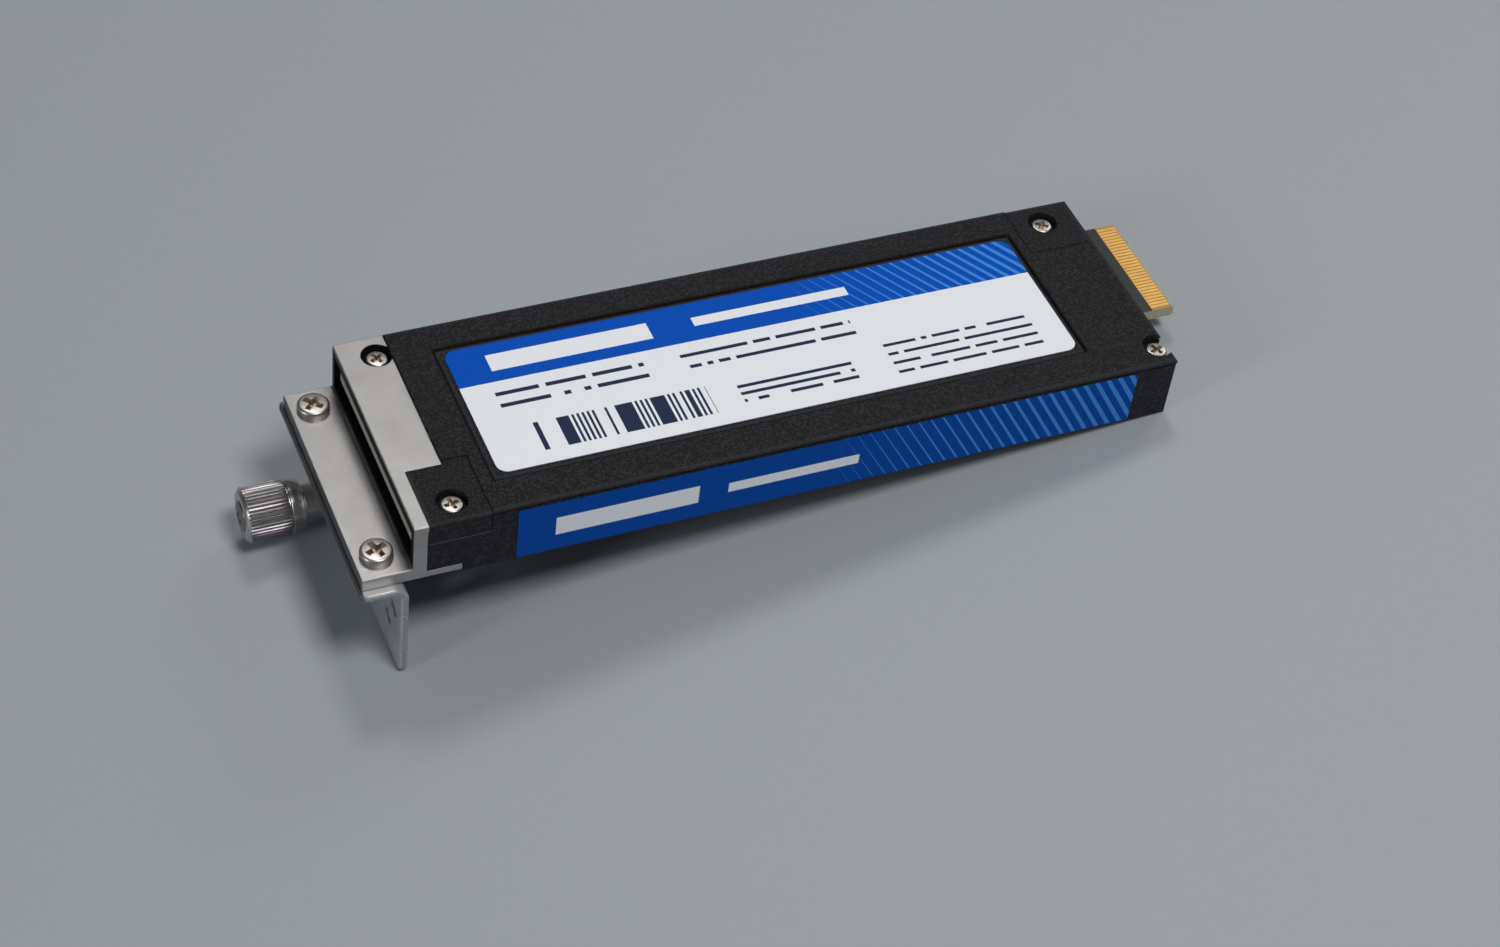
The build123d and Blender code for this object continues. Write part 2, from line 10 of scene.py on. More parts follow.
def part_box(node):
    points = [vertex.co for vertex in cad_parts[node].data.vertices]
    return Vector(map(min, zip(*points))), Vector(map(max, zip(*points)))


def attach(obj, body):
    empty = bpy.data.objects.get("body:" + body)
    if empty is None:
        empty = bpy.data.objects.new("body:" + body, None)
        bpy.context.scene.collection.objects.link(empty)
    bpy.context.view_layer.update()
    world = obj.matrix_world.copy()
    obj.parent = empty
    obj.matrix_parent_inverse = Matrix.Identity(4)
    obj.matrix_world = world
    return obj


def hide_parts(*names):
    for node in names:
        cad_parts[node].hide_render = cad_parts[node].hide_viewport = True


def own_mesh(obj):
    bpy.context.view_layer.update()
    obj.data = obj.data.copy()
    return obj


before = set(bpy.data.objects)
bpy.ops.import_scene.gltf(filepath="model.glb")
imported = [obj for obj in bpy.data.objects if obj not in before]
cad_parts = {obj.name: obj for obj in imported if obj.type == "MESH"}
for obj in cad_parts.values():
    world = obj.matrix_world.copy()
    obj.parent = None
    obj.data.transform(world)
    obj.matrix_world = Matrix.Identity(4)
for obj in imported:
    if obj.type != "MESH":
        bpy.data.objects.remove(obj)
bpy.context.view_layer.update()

bl_info = {
    "name": "Ruler drive module",
    "version": (1, 0, 0),
    "blender": (4, 5, 0),
    "location": "View3D > Sidebar > Ruler drive",
    "description": "Finishes, screws, thumbscrew, labels and stage of a ruler drive module",
    "category": "Object",
}

MM = 0.001
HAIR = 0.1 * MM
SCREW_SHARP = 35.0


def colour_setting(name, description, default):
    """A colour setting."""
    return FloatVectorProperty(name=name, description=description, subtype="COLOR", size=3,
                               min=0.0, max=1.0, default=default)


def length_setting(name, description, default):
    """A setting in metres."""
    return FloatProperty(name=name, description=description, default=default, min=0.0,
                         subtype="DISTANCE", unit="LENGTH", precision=5)


def power_setting(name, description, default):
    """A setting of a light's power."""
    return FloatProperty(name=name, description=description, default=default, min=0.0, unit="POWER")


class RulerFinishes(bpy.types.PropertyGroup):
    """Colours of the drive's surfaces."""

    housing: colour_setting("Housing", "Black of the textured case", (0.0085, 0.0085, 0.0098))
    bracket: colour_setting("Bracket", "Blasted metal of the end bracket", (0.455, 0.445, 0.44))
    plate: colour_setting("Face plate", "Zinc of the bent sheet", (0.56, 0.56, 0.565))
    nickel: colour_setting("Nickel", "Plating of the screws", (0.52, 0.49, 0.455))
    thumb: colour_setting("Thumbscrew", "Darker plating of the thumbscrew", (0.235, 0.225, 0.235))
    stain: colour_setting("Recess stain", "Warm tone inside the screw recesses", (0.26, 0.16, 0.08))
    solder_mask: colour_setting("Solder mask", "Faces of the circuit board", (0.012, 0.013, 0.013))
    laminate: colour_setting("Laminate", "Bare edges of the circuit board", (0.50, 0.50, 0.33))
    front_edge: colour_setting("Front edge", "Cut edge of the board behind the slot", (0.43, 0.43, 0.35))
    gold: colour_setting("Gold", "Contacts of the card edge", (0.92, 0.56, 0.17))
    label_paper: colour_setting("Label", "White of the top label", (0.80, 0.83, 0.88))
    label_band: colour_setting("Label band", "Blue band of the top label", (0.0, 0.076, 0.47))
    side_film: colour_setting("Side label", "Blue of the side label", (0.0, 0.064, 0.36))
    side_lines: colour_setting("Side lines", "Paler lines on the labels", (0.05, 0.24, 0.68))
    ink: colour_setting("Ink", "Dark print on the top label", (0.02, 0.03, 0.07))


class RulerHousing(bpy.types.PropertyGroup):
    """Where the case gets painted highlights and painted shade lines, and where it is parted."""

    recess_gap: length_setting("Recess gap", "From the label to the rim of its recess", 0.0004)
    # The rim and edge widths belong to painted highlight bands; the groove end bounds a painted shade
    # line.
    highlight_rim_width: length_setting("Rim width", "Width of the worn rim round the recess", 0.00045)
    shade_line_end: length_setting("Groove end", "Outer limit of the dark groove round the rim", 0.0009)
    edge_width: length_setting("Edge width", "Width of the worn outer edge of the deck", 0.0005)
    near_pad_length: length_setting("Near pad length", "Length of the front's lowered corner", 0.00809)
    far_pad_length: length_setting("Far pad length", "Length of the rear's lowered corner", 0.00942)
    far_pad_width: length_setting("Far pad width", "Width of the rear's lowered corner", 0.00895)
    pad_shadow: length_setting("Pad shadow", "Width of the dark line on the rear corner's step", 0.00022)
    parting: length_setting("Parting", "Height of the parting line above the underside", 0.00605)
    # Half width of the painted highlight on the parting line.
    seam_highlight_half: length_setting("Parting half width", "Half the width of the parting line", 0.00009)


class RulerScrews(bpy.types.PropertyGroup):
    """Sizes of the screws' details."""

    recess_arm: FloatProperty(name="Recess arm", default=0.34, min=0.1, max=0.45,
                              description="Half length of a recess arm as a share of the head")
    recess_slot: FloatProperty(name="Recess slot", default=0.2, min=0.05, max=0.4,
                               description="Width of a recess arm as a share of the head")
    thread_pitch: length_setting("Thread pitch", "Step of the screw threads", 0.0004)
    segments: IntProperty(name="Segments", description="Facets round a screw", default=48, min=12)


class RulerBracket(bpy.types.PropertyGroup):
    """Where the bracket is black, and where shade is painted on it."""

    bore_radius: length_setting("Bore radius", "Radius of the cover screw's counterbore", 0.00208)
    wall_front: length_setting("Wall front", "Front of the slotted wall along X", 0.00074)
    wall_rear: length_setting("Wall rear", "Rear of the slotted wall along X", 0.00264)
    wall_low: length_setting("Wall low", "Foot of the blackened wall", 0.01415)
    wall_high: length_setting("Wall high", "Head of the blackened wall", 0.02055)
    slot_low: length_setting("Slot low", "Sill of the slot", 0.0147)
    slot_high: length_setting("Slot high", "Lip of the slot", 0.0196)
    slot_half: length_setting("Slot half width", "Half the slot's width", 0.015875)
    # Depth of the painted shade on the flange next to the wall.
    corner_shade_width: length_setting("Soot width", "Depth of the dark corner by the wall", 0.0034)


class RulerKnob(bpy.types.PropertyGroup):
    """Sizes of the thumbscrew's details."""

    ridges: IntProperty(name="Ridges", description="Ridges of the straight knurl", default=46, min=8)
    knurl_depth: length_setting("Knurl depth", "Depth of the grooves between ridges", 0.0002)
    chamfer: length_setting("Chamfer", "Polished chamfer at the outer end", 0.0005)
    grip_length: length_setting("Grip length", "Length of the knurl with its chamfer", 0.00578)
    end_wall: length_setting("End wall", "Depth of metal behind the outer face", 0.00167)
    mouth_radius: length_setting("Mouth radius", "Outer radius at the open end", 0.0028)
    bore_gap: length_setting("Bore gap", "Running gap round the ferrule", 0.00005)
    head_radius: length_setting("Head radius", "Radius of the captive screw's head", 0.0021)
    head_sink: length_setting("Head sink", "Depth of the seat under the head", 0.0005)
    neck_radius: length_setting("Neck radius", "Radius of the screw in the end wall", 0.0013)
    shank_radius: length_setting("Shank radius", "Radius of the relieved shank", 0.00105)
    thread_radius: length_setting("Thread radius", "Outer radius of the thread", 0.0015)
    thread_length: length_setting("Thread length", "Length of the threaded end", 0.00457)
    spring_radius: length_setting("Spring radius", "Mean radius of the coil", 0.0018)
    spring_wire: length_setting("Spring wire", "Diameter of the wire", 0.00035)
    spring_turns: IntProperty(name="Spring turns", description="Turns of the coil", default=5, min=2)
    push: length_setting("Push", "How far the thumbscrew slides in", 0.0041)


class RulerStage(bpy.types.PropertyGroup):
    """Floor, light and camera of the studio."""

    floor: colour_setting("Floor", "Pale floor", (0.33, 0.355, 0.38))
    lens: FloatProperty(name="Lens", description="Focal length", default=72.03, min=1.0, unit="CAMERA")
    key_power: power_setting("Key light", "Power of the softbox in front", 7.8)
    back_power: power_setting("Back light", "Power of the softbox behind", 2.7)
    rear_power: power_setting("Rear light", "Power of the softbox past the card edge", 2.5)
    window_power: power_setting("Window light", "Power of the small light at the left", 3.1)
    ambient: FloatProperty(name="Ambient", description="Strength of the room's light", default=0.11,
                           min=0.0)


def node_box(name):
    """Lowest and highest corner of a node, as vectors."""
    low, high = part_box(name)
    return Vector(low), Vector(high)


def feed(tree, node, inputs):
    """Links or sets a node's inputs."""
    for key, value in inputs.items():
        if isinstance(value, bpy.types.NodeSocket):
            tree.links.new(value, node.inputs[key])
        else:
            node.inputs[key].default_value = value


def put(tree, kind, inputs=None, **settings):
    """Adds a shader node, sets its options and feeds its inputs."""
    node = tree.nodes.new(kind)
    for key, value in settings.items():
        setattr(node, key, value)
    feed(tree, node, inputs or {})
    return node


def calc(tree, operation, *values):
    """A Math node's result."""
    return put(tree, "ShaderNodeMath", dict(enumerate(values)), operation=operation).outputs[0]


def product(tree, *values):
    """Values multiplied, so masks hold where all of them do."""
    return reduce(lambda first, second: calc(tree, "MULTIPLY", first, second), values)


def largest(tree, *values):
    """The largest value, so masks hold where any of them does."""
    return reduce(lambda first, second: calc(tree, "MAXIMUM", first, second), values)


def blend_colour(tree, mask, first, second):
    """First colour where the mask is 0, second where it is 1."""
    node = put(tree, "ShaderNodeMix", {0: mask, 6: first, 7: second}, data_type="RGBA")
    return node.outputs[2]


def ramp(tree, value, low, high, to_low=0.0, to_high=1.0):
    """A clamped linear map of a value."""
    node = put(tree, "ShaderNodeMapRange", {"Value": value, "From Min": low, "From Max": high,
                                            "To Min": to_low, "To Max": to_high})
    return node.outputs[0]


def split(tree, vector):
    """The three axes of a vector."""
    return put(tree, "ShaderNodeSeparateXYZ", {0: vector}).outputs


def opaque(colour, factor=1.0):
    """Colour with full alpha, made darker or lighter by a factor."""
    return (*(min(1.0, factor * part) for part in colour), 1.0)


def start_group(name, inputs, outputs):
    """A new shader node group with named float sockets."""
    tree = bpy.data.node_groups.new(name, "ShaderNodeTree")
    for title, default in inputs.items():
        kind = "NodeSocketVector" if default is None else "NodeSocketFloat"
        socket = tree.interface.new_socket(name=title, in_out="INPUT", socket_type=kind)
        if default is not None:
            socket.default_value = default
    for title in outputs:
        tree.interface.new_socket(name=title, in_out="OUTPUT", socket_type="NodeSocketFloat")
    return tree, tree.nodes.new("NodeGroupInput").outputs, tree.nodes.new("NodeGroupOutput").inputs


def grain_group():
    """Fine surface grain: a height for bump and a mask of pale flecks."""
    settings = {"Scale": 3000.0, "Fleck Level": 0.62}
    tree, given, result = start_group("Fine grain", settings, ("Height", "Fleck"))
    place = put(tree, "ShaderNodeTexCoord").outputs["Object"]
    fine = put(tree, "ShaderNodeTexNoise", {"Vector": place, "Scale": given["Scale"], "Detail": 3.0,
                                            "Roughness": 0.65})
    finer = product(tree, given["Scale"], 1.9)
    cells = put(tree, "ShaderNodeTexVoronoi", {"Vector": place, "Scale": finer})
    pits = product(tree, cells.outputs["Distance"], 0.35)
    tree.links.new(calc(tree, "SUBTRACT", fine.outputs[0], pits), result["Height"])
    upper = calc(tree, "ADD", given["Fleck Level"], 0.12)
    tree.links.new(ramp(tree, fine.outputs[0], given["Fleck Level"], upper), result["Fleck"])
    return tree


def mottle_group():
    """Broad soft variation, as from handling, between two values."""
    settings = {"Scale": 90.0, "Low": 0.0, "High": 1.0}
    tree, given, result = start_group("Handling mottle", settings, ("Value",))
    place = put(tree, "ShaderNodeTexCoord").outputs["Object"]
    cloud = put(tree, "ShaderNodeTexNoise", {"Vector": place, "Scale": given["Scale"], "Detail": 4.0,
                                             "Roughness": 0.55})
    value = ramp(tree, cloud.outputs[0], 0.3, 0.7, given["Low"], given["High"])
    tree.links.new(value, result["Value"])
    return tree


def inside(tree, value, low, high):
    """1 where a value lies between two limits."""
    return product(tree, calc(tree, "GREATER_THAN", value, low), calc(tree, "LESS_THAN", value, high))


def field_group():
    """A printed rectangle in the first two axes of a vector."""
    limits = {"Vector": None, "Left": 0.0, "Right": 1.0, "Bottom": 0.0, "Top": 1.0}
    tree, given, result = start_group("Printed field", limits, ("Mask",))
    axes = split(tree, given["Vector"])
    across = inside(tree, axes[0], given["Left"], given["Right"])
    up = inside(tree, axes[1], given["Bottom"], given["Top"])
    tree.links.new(product(tree, across, up), result["Mask"])
    return tree


def print_group():
    """Rows of plain bars of uneven length, standing for printed lines."""
    sizes = {"Vector": None, "Bar Length": 0.002, "Row Pitch": 0.002, "Row Height": 0.5, "Gap Level": 0.3}
    tree, given, result = start_group("Printed rows", sizes, ("Mask",))
    axes = split(tree, given["Vector"])
    column = calc(tree, "FLOOR", calc(tree, "DIVIDE", axes[0], given["Bar Length"]))
    turn = calc(tree, "DIVIDE", axes[1], given["Row Pitch"])
    row = calc(tree, "FLOOR", turn)
    cell = put(tree, "ShaderNodeCombineXYZ", {0: column, 1: row}).outputs[0]
    chance = put(tree, "ShaderNodeTexWhiteNoise", {"Vector": cell}, noise_dimensions="3D")
    filled = calc(tree, "GREATER_THAN", chance.outputs["Value"], given["Gap Level"])
    lit = calc(tree, "LESS_THAN", calc(tree, "FRACT", turn), given["Row Height"])
    tree.links.new(product(tree, filled, lit), result["Mask"])
    return tree


GROUP_MAKERS = {"Fine grain": grain_group, "Handling mottle": mottle_group, "Printed field": field_group,
                "Printed rows": print_group}


def effect(tree, name, inputs):
    """Places a shared effect in a material, building it on its first use."""
    made = bpy.data.node_groups.get(name) or GROUP_MAKERS[name]()
    return put(tree, "ShaderNodeGroup", inputs, node_tree=made).outputs


def grain(tree, scale, fleck_level):
    """Height and flecks of the fine grain."""
    return effect(tree, "Fine grain", {"Scale": scale, "Fleck Level": fleck_level})


def mottle(tree, scale, low=0.0, high=1.0):
    """Value of the handling mottle."""
    return effect(tree, "Handling mottle", {"Scale": scale, "Low": low, "High": high})["Value"]


def mottled(tree, colour, dullness, scale):
    """A colour that handling has dulled in patches, and the mask of its brighter places."""
    mask = mottle(tree, scale)
    return blend_colour(tree, mask, opaque(colour, dullness), opaque(colour)), mask


def object_place(tree):
    """Place in the part's frame, as a vector and as its three axes."""
    place = put(tree, "ShaderNodeTexCoord").outputs["Object"]
    return place, split(tree, place)


def surface_normal(tree):
    """The three axes of a face's own normal."""
    return split(tree, put(tree, "ShaderNodeTexCoord").outputs["Normal"])


def start_material(name):
    """A new material with its node tree and shader."""
    material = bpy.data.materials.new(name)
    material.use_nodes = True
    return material, material.node_tree, material.node_tree.nodes["Principled BSDF"]


def wire(tree, shader, **links):
    """Feeds the shader's inputs, named with underscores for spaces."""
    feed(tree, shader, {key.replace("_", " "): value for key, value in links.items()})


def bump(tree, height, strength, distance, edge=None):
    """Normal from a height, on edges that look rounded where a radius is given."""
    inputs = {"Strength": strength, "Distance": distance, "Height": height}
    if edge:
        inputs["Normal"] = put(tree, "ShaderNodeBevel", {"Radius": edge}, samples=6).outputs[0]
    return put(tree, "ShaderNodeBump", inputs).outputs[0]


def field(tree, vector, left, right, bottom, top):
    """Mask of a rectangle, limits in millimetres."""
    limits = {"Vector": vector, "Left": left * MM, "Right": right * MM,
              "Bottom": bottom * MM, "Top": top * MM}
    return effect(tree, "Printed field", limits)["Mask"]


def rim_band(tree, place, low, high, start, end):
    """Mask of a band round a box seen from above, between two distances from it."""
    masks = []
    for reach in (start, end):
        masks.append(field(tree, place, (low.x - reach) / MM, (high.x + reach) / MM,
                           (low.y - reach) / MM, (high.y + reach) / MM))
    return calc(tree, "SUBTRACT", masks[1], masks[0])


def housing_finish(finishes, housing):
    """Matte black with a leathery grain, painted highlights along the deck's edges, round the recess and
    on the near corner's parting line, and painted shade lines round the recess and on the rear corner's
    step.
    """
    material, tree, shader = start_material("housing black")
    leather = grain(tree, 2700.0, 0.48)
    # The paler black serves both the grain's flecks and the painted highlights.
    black, fleck_and_highlight_black = opaque(finishes.housing), opaque(finishes.housing, 3.4)
    colour = blend_colour(tree, leather["Fleck"], black, fleck_and_highlight_black)
    place, axes = object_place(tree)
    low, high = node_box("top_label")
    cover_low, cover_high = node_box("top_cover")
    deck = calc(tree, "GREATER_THAN", axes[2], low.z - HAIR)
    low = low - Vector((housing.recess_gap, housing.recess_gap, 0.0))
    # Painted highlight: pale bands round the label's recess and along the deck's outer edge, where
    # rounded edges would catch the light.
    rim = rim_band(tree, place, low, high, 0.0, housing.highlight_rim_width)
    edge_highlight = rim_band(tree, place, cover_low, cover_high, -housing.edge_width, HAIR)
    painted_highlight = product(tree, deck, largest(tree, rim, edge_highlight), 0.7)
    near = calc(tree, "LESS_THAN", axes[1], cover_low.y + HAIR)
    corner = calc(tree, "LESS_THAN", axes[0], cover_low.x + housing.near_pad_length)
    parting = node_box("bottom_tray")[0].z + housing.parting
    # Painted highlight: a pale line along the parting line on the near side of the front corner, where
    # its edge would catch the light.
    seam = inside(tree, axes[2], parting - housing.seam_highlight_half, parting + housing.seam_highlight_half)
    seam = product(tree, seam, near, corner)
    pad_low = cover_high - Vector((housing.far_pad_length, housing.far_pad_width, 0.0))
    pad_high = cover_high + Vector((MM, MM, 0.0))
    # Painted shade: dark lines on the rear corner's step and round the recess, standing for the shade
    # those edges throw.
    pad_step_shadow = rim_band(tree, place, pad_low, pad_high, 0.0, housing.pad_shadow)
    groove = rim_band(tree, place, low, high, housing.highlight_rim_width, housing.shade_line_end)
    groove = product(tree, deck, largest(tree, pad_step_shadow, groove))
    # Paints the shade lines near black.
    colour = blend_colour(tree, groove, colour, (0.001, 0.001, 0.001, 1.0))
    # Paints the highlight bands pale.
    colour = blend_colour(tree, painted_highlight, colour, fleck_and_highlight_black)
    # Paints the parting line's highlight pale.
    colour = blend_colour(tree, seam, colour, opaque(finishes.housing, 8.16))
    wire(tree, shader, Base_Color=colour, Roughness=mottle(tree, 60.0, 0.46, 0.54),
         Normal=bump(tree, leather["Height"], 1.0, 0.22 * MM, 0.25 * MM), Specular_IOR_Level=0.17)
    return material


def slot_mask(tree, axes, bracket):
    """1 on the front of the bracket's wall and on the faces inside its slot."""
    seam = 0.02 * MM
    along = inside(tree, axes[0], bracket.wall_front + seam, bracket.wall_rear + seam)
    up = inside(tree, axes[2], bracket.slot_low - seam, bracket.slot_high + seam)
    across = calc(tree, "LESS_THAN", calc(tree, "ABSOLUTE", axes[1]), bracket.slot_half + seam)
    front = inside(tree, axes[0], bracket.wall_front - seam, bracket.wall_front + seam)
    tall = inside(tree, axes[2], bracket.wall_low, bracket.wall_high)
    return largest(tree, product(tree, along, up, across), product(tree, front, tall))


def bracket_finish(finishes, bracket, bore):
    """Blasted satin metal with painted shade on the flange's front face and on the flange by the wall,
    black in the slot and the screw's bore.
    """
    material, tree, shader = start_material("bracket satin")
    blast = grain(tree, 6500.0, 0.6)
    colour = mottled(tree, finishes.bracket, 0.86, 220.0)[0]
    rough = ramp(tree, blast["Height"], 0.1, 0.7, 0.45, 0.37)
    place, axes = object_place(tree)
    level = put(tree, "ShaderNodeVectorMath", {0: place, 1: (1.0, 1.0, 0.0)}, operation="MULTIPLY")
    reach = put(tree, "ShaderNodeVectorMath", {0: level.outputs[0], 1: (bore.x, bore.y, 0.0)},
                operation="DISTANCE")
    bored = calc(tree, "LESS_THAN", reach.outputs["Value"], bracket.bore_radius)
    black = largest(tree, bored, slot_mask(tree, axes, bracket))
    low = node_box("front_bracket")[0]
    # Painted shade on the flange's front face.
    front = calc(tree, "LESS_THAN", axes[0], low.x + 0.04 * MM)
    flange = calc(tree, "LESS_THAN", axes[2], bracket.wall_low)
    past_end = calc(tree, "GREATER_THAN", axes[1], low.y + 0.05 * MM)
    # Painted shade on the flange, darkest at the wall and fading out over the corner shade width.
    painted_corner_shade = ramp(tree, axes[0], bracket.wall_front - bracket.corner_shade_width, bracket.wall_front, 0.0, 0.88)
    painted_shade = largest(tree, front, product(tree, painted_corner_shade, painted_corner_shade, flange, past_end))
    # The painted shade is a darker copy of the bracket's colour.
    colour = blend_colour(tree, painted_shade, colour, opaque(finishes.bracket, 0.3))
    colour = blend_colour(tree, black, colour, opaque(finishes.housing))
    wire(tree, shader, Base_Color=colour, Metallic=calc(tree, "SUBTRACT", 1.0, black), Roughness=rough,
         Normal=bump(tree, blast["Height"], 0.25, 0.03 * MM, 0.12 * MM), Specular_IOR_Level=0.05)
    return material


def plate_finish(finishes):
    """Plated sheet with a fine rolled grain, darker sheared edges and painted shade along its front edge.
    """
    material, tree, shader = start_material("plate zinc")
    rolled = grain(tree, 4200.0, 0.6)
    colour = mottled(tree, finishes.plate, 0.8, 350.0)[0]
    edge = ramp(tree, calc(tree, "ABSOLUTE", surface_normal(tree)[1]), 0.6, 0.9)
    colour = blend_colour(tree, edge, colour, opaque(finishes.plate, 0.68))
    # Painted shade: the strip along the sheet's front edge is darkened to a fifth of the plate's colour.
    lip_shade_end = node_box("face_plate")[0].x + 0.55 * MM
    lip_shade = calc(tree, "LESS_THAN", object_place(tree)[1][0], lip_shade_end)
    colour = blend_colour(tree, lip_shade, colour, opaque(finishes.plate, 0.2))
    rough = ramp(tree, rolled["Height"], 0.1, 0.7, 0.36, 0.26)
    rough = calc(tree, "SUBTRACT", rough, product(tree, edge, 0.06))
    wire(tree, shader, Base_Color=colour, Metallic=0.55, Roughness=rough,
         Normal=bump(tree, rolled["Height"], 0.35, 0.04 * MM, 0.15 * MM))
    return material


def nickel_finish(name, plating, roughness):
    """Plated metal with slight pitting."""
    material, tree, shader = start_material(name)
    colour, mask = mottled(tree, plating, 0.82, 500.0)
    rough = ramp(tree, mask, 0.0, 1.0, roughness + 0.06, roughness)
    wire(tree, shader, Base_Color=colour, Metallic=1.0, Roughness=rough,
         Normal=bump(tree, grain(tree, 5200.0, 0.62)["Height"], 0.12, 0.02 * MM))
    return material


def stain_finish(finishes):
    """Darker, warmer plating inside a driver recess."""
    material, tree, shader = start_material("recess stain")
    colour = blend_colour(tree, mottle(tree, 1500.0), opaque(finishes.stain), opaque(finishes.nickel))
    wire(tree, shader, Base_Color=colour, Metallic=1.0, Roughness=0.42)
    return material


def board_finish(finishes):
    """Black solder mask on the faces, layered laminate on the edges, copper by the contacts, and painted
    shade over the upper part of the front cut edge.
    """
    material, tree, shader = start_material("board laminate")
    face = ramp(tree, calc(tree, "ABSOLUTE", surface_normal(tree)[2]), 0.85, 0.95)
    axes = object_place(tree)[1]
    layers = calc(tree, "SINE", product(tree, axes[2], 2 * pi / (0.26 * MM)))
    fibre = grain(tree, 5200.0, 0.58)
    edge = blend_colour(tree, ramp(tree, layers, 0.35, 0.95), opaque(finishes.laminate),
                        opaque(finishes.laminate, 0.62))
    edge = blend_colour(tree, product(tree, fibre["Fleck"], 0.35), edge, (0.5, 0.5, 0.4, 1.0))
    low, high = node_box("circuit_board")
    mask_black = opaque(finishes.solder_mask)
    front = calc(tree, "LESS_THAN", axes[0], low.x + 0.2 * MM)
    # Painted shade: the upper part of the board's front cut edge takes the solder mask's black, standing
    # for the shade under the overhang above the slot.
    upper = calc(tree, "GREATER_THAN", axes[2], low.z + 0.78 * (high.z - low.z))
    shaded_cut_edge = blend_colour(tree, upper, opaque(finishes.front_edge), mask_black)
    edge = blend_colour(tree, front, edge, shaded_cut_edge)
    tongue = calc(tree, "GREATER_THAN", axes[0], node_box("contact_pads")[0].x)
    flat = blend_colour(tree, tongue, mask_black, opaque(finishes.gold, 0.45))
    wire(tree, shader, Base_Color=blend_colour(tree, face, edge, flat),
         Roughness=ramp(tree, face, 0.0, 1.0, 0.7, 0.42),
         Normal=bump(tree, fibre["Height"], 0.15, 0.03 * MM))
    return material


def gold_finish(finishes):
    """Gold flash with slight insertion marks along the contact."""
    material, tree, shader = start_material("contact gold")
    colour, mask = mottled(tree, finishes.gold, 0.85, 900.0)
    wire(tree, shader, Base_Color=colour, Metallic=1.0, Roughness=ramp(tree, mask, 0.0, 1.0, 0.52, 0.46))
    return material


def moulded_finish(name, colour, roughness):
    """Plain moulded or pressed body with a little grain."""
    material, tree, shader = start_material(name)
    texture = grain(tree, 4000.0, 0.6)
    pale = tuple(min(1.0, 1.5 * part + 0.01) for part in colour)
    tint = blend_colour(tree, texture["Fleck"], opaque(colour), opaque(pale))
    wire(tree, shader, Base_Color=tint, Roughness=roughness,
         Normal=bump(tree, texture["Height"], 0.2, 0.04 * MM))
    return material


def print_block(tree, vector, bar, pitch, height, gap, limits):
    """Mask of printed rows inside a rectangle, lengths in millimetres."""
    sizes = {"Vector": vector, "Bar Length": bar * MM, "Row Pitch": pitch * MM, "Row Height": height,
             "Gap Level": gap}
    lines = effect(tree, "Printed rows", sizes)["Mask"]
    return product(tree, lines, field(tree, vector, *limits))


def fine_lines(tree, vector, pitch, start, end):
    """Slanted hairlines that thicken from one x to another, in millimetres."""
    axes = split(tree, vector)
    slant = calc(tree, "ADD", axes[0], product(tree, axes[1], 0.6))
    phase = calc(tree, "FRACT", calc(tree, "DIVIDE", slant, pitch * MM))
    width = ramp(tree, axes[0], start * MM, end * MM, 0.0, 0.5)
    return calc(tree, "LESS_THAN", phase, width)


def film_surface(tree, shader, colour):
    """Feeds the shader of a printed film that has a faint texture."""
    texture = grain(tree, 3800.0, 0.7)
    wire(tree, shader, Base_Color=colour, Roughness=mottle(tree, 120.0, 0.48, 0.56),
         Normal=bump(tree, texture["Height"], 0.06, 0.03 * MM), Specular_IOR_Level=0.07)


def top_label_finish(finishes):
    """White film with a blue band and plain printed bars."""
    low, high = node_box("top_label")
    material, tree, shader = start_material("top label print")
    place, axes = object_place(tree)
    band = calc(tree, "GREATER_THAN", axes[1], 4.7 * MM)
    left, right = low.x / MM, high.x / MM
    lines = fine_lines(tree, place, 1.7, right - 34.0, right + 6.0)
    blue = blend_colour(tree, lines, opaque(finishes.label_band), opaque(finishes.side_lines))
    heading = print_block(tree, place, 0.9, 2.1, 0.32, 0.14, (left + 4, left + 24, -0.2, 4.0))
    middle = print_block(tree, place, 0.8, 2.1, 0.28, 0.14, (left + 29, left + 53, -0.2, 4.0))
    foot = print_block(tree, place, 0.8, 1.7, 0.3, 0.16, (right - 25, right - 4, -9.0, -2.2))
    stripes = print_block(tree, place, 0.34, 40.0, 2.0, 0.5, (left + 6, left + 30, -8.6, -3.6))
    note = print_block(tree, place, 1.5, 1.3, 0.42, 0.1, (left + 34, left + 50, -7.8, -3.9))
    dark = largest(tree, heading, middle, foot, stripes, note)
    white = blend_colour(tree, dark, opaque(finishes.label_paper), opaque(finishes.ink))
    title = field(tree, place, left + 5, left + 27, 6.6, 9.6)
    title = largest(tree, title, field(tree, place, left + 33, left + 55, 7.3, 8.9))
    blue = blend_colour(tree, title, blue, opaque(finishes.label_paper))
    film_surface(tree, shader, blend_colour(tree, band, white, blue))
    return material


def side_label_finish(finishes):
    """Blue film with pale bars and lines that gather towards the rear."""
    low, high = node_box("side_label")
    material, tree, shader = start_material("side label print")
    axes = object_place(tree)[1]
    flat = put(tree, "ShaderNodeCombineXYZ", {0: axes[0], 1: axes[2]}).outputs[0]
    left, right, middle = low.x / MM, high.x / MM, 0.5 * (low.z + high.z) / MM
    lines = fine_lines(tree, flat, 1.7, left + 42.0, right + 6.0)
    colour = blend_colour(tree, lines, opaque(finishes.side_film), opaque(finishes.side_lines))
    bar = field(tree, flat, left + 5, left + 24, middle - 1.5, middle + 1.5)
    thin_bar = field(tree, flat, left + 28, left + 46, middle - 0.8, middle + 0.8)
    bars = largest(tree, bar, thin_bar)
    film_surface(tree, shader, blend_colour(tree, bars, colour, opaque(finishes.label_paper)))
    return material


